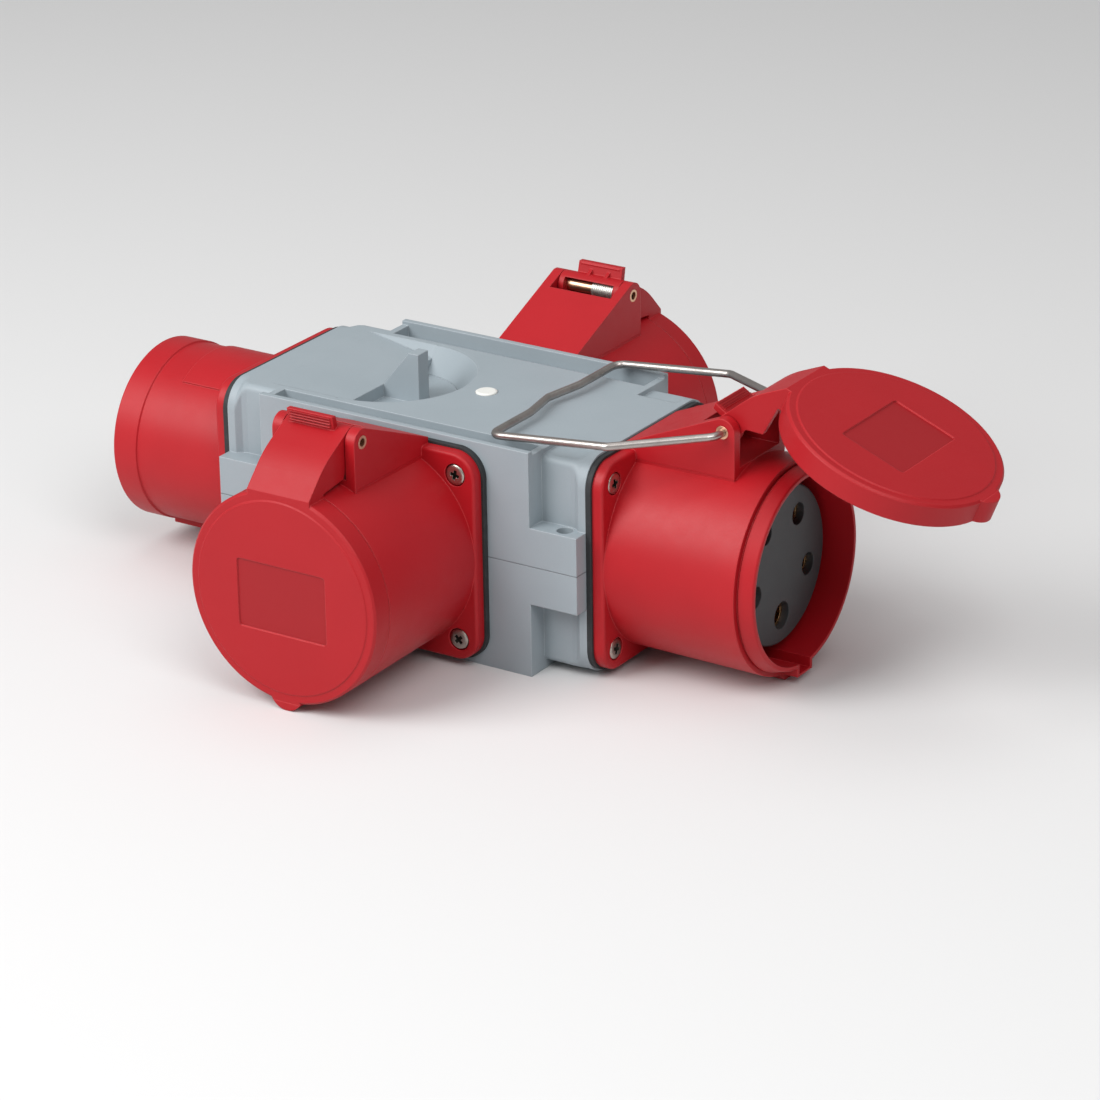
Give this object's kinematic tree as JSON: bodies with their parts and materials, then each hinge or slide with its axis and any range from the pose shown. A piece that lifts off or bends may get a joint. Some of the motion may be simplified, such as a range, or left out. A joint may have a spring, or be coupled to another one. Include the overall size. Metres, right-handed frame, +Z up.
{
  "type": "cee power distributor",
  "caption": "Compact industrial power distributor: grey two-part box with a red male inlet, red lidded sockets on three sides and a hinged wire bail.",
  "frame": {"origin": "middle of the box's underside", "axes": "+X from the inlet to the right socket, -Y to the front socket, +Z up"},
  "size_m": [0.3681, 0.2396, 0.1191],
  "materials": {
    "housing_grey": "finely textured moulded thermoplastic",
    "plug_white": "smooth",
    "lid_red": "finely textured moulded thermoplastic",
    "body_red": "finely textured moulded thermoplastic",
    "gasket_black": "matt",
    "seal_grey": "matt",
    "screw_steel": "zinc plated",
    "brass": "drawn",
    "spring_steel": "zinc plated",
    "bail_steel": "drawn wire, satin",
    "carrier_grey": "smooth",
    "terminal_cream": "smooth",
    "lead_black": "insulation"
  },
  "bodies": {
    "base": {"upper_housing": "housing_grey", "lower_housing": "housing_grey", "breather_plug": "plug_white", "housing_screws": "screw_steel", "terminal_block": "terminal_cream", "inlet_gasket": "gasket_black", "inlet_screws": "screw_steel", "inlet_shroud": "body_red", "inlet_pin_carrier": "carrier_grey", "inlet_contact_pins": "brass", "inlet_leads": "lead_black", "front_gasket": "gasket_black", "front_screws": "screw_steel", "front_socket_body": "body_red", "front_contact_carrier": "carrier_grey", "front_contact_sleeves": "brass", "front_hinge_pin": "brass", "front_lid_spring": "spring_steel", "front_leads": "lead_black", "rear_gasket": "gasket_black", "rear_screws": "screw_steel", "rear_socket_body": "body_red", "rear_contact_carrier": "carrier_grey", "rear_contact_sleeves": "brass", "rear_hinge_pin": "brass", "rear_lid_spring": "spring_steel", "rear_leads": "lead_black", "right_gasket": "gasket_black", "right_screws": "screw_steel", "right_socket_body": "body_red", "right_contact_carrier": "carrier_grey", "right_contact_sleeves": "brass", "right_hinge_pin": "brass", "right_lid_spring": "spring_steel", "right_leads": "lead_black"},
    "bail": {"wire_bail": "bail_steel"},
    "front_lid_body": {"front_lid": "lid_red", "front_lid_seal": "seal_grey"},
    "rear_lid_body": {"rear_lid": "lid_red", "rear_lid_seal": "seal_grey"},
    "right_lid_body": {"right_lid": "lid_red", "right_lid_seal": "seal_grey"}
  },
  "joints": [
    {"name": "front_lid_hinge", "type": "hinge", "parent": "base", "child": "front_lid_body", "pos_m": [0, -0.0918, 0.099], "axis": [-1, 0, 0], "range_deg": [0, 105], "stiffness_Nm_per_rad": 0.03, "springref_deg": -30, "deforming": ["front_lid_spring"]},
    {"name": "rear_lid_hinge", "type": "hinge", "parent": "base", "child": "rear_lid_body", "pos_m": [0, 0.0918, 0.099], "axis": [1, 0, 0], "range_deg": [0, 105], "stiffness_Nm_per_rad": 0.03, "springref_deg": -30, "deforming": ["rear_lid_spring"]},
    {"name": "right_lid_hinge", "type": "hinge", "parent": "base", "child": "right_lid_body", "pos_m": [0.1238, 0, 0.099], "axis": [0, -1, 0], "range_deg": [-68, 37], "stiffness_Nm_per_rad": 0.03, "springref_deg": -98, "deforming": ["right_lid_spring"]},
    {"name": "bail_pivot", "type": "hinge", "parent": "base", "child": "bail", "pos_m": [0.1238, 0, 0.099], "axis": [0, 1, 0], "range_deg": [0, 120]}
  ]
}
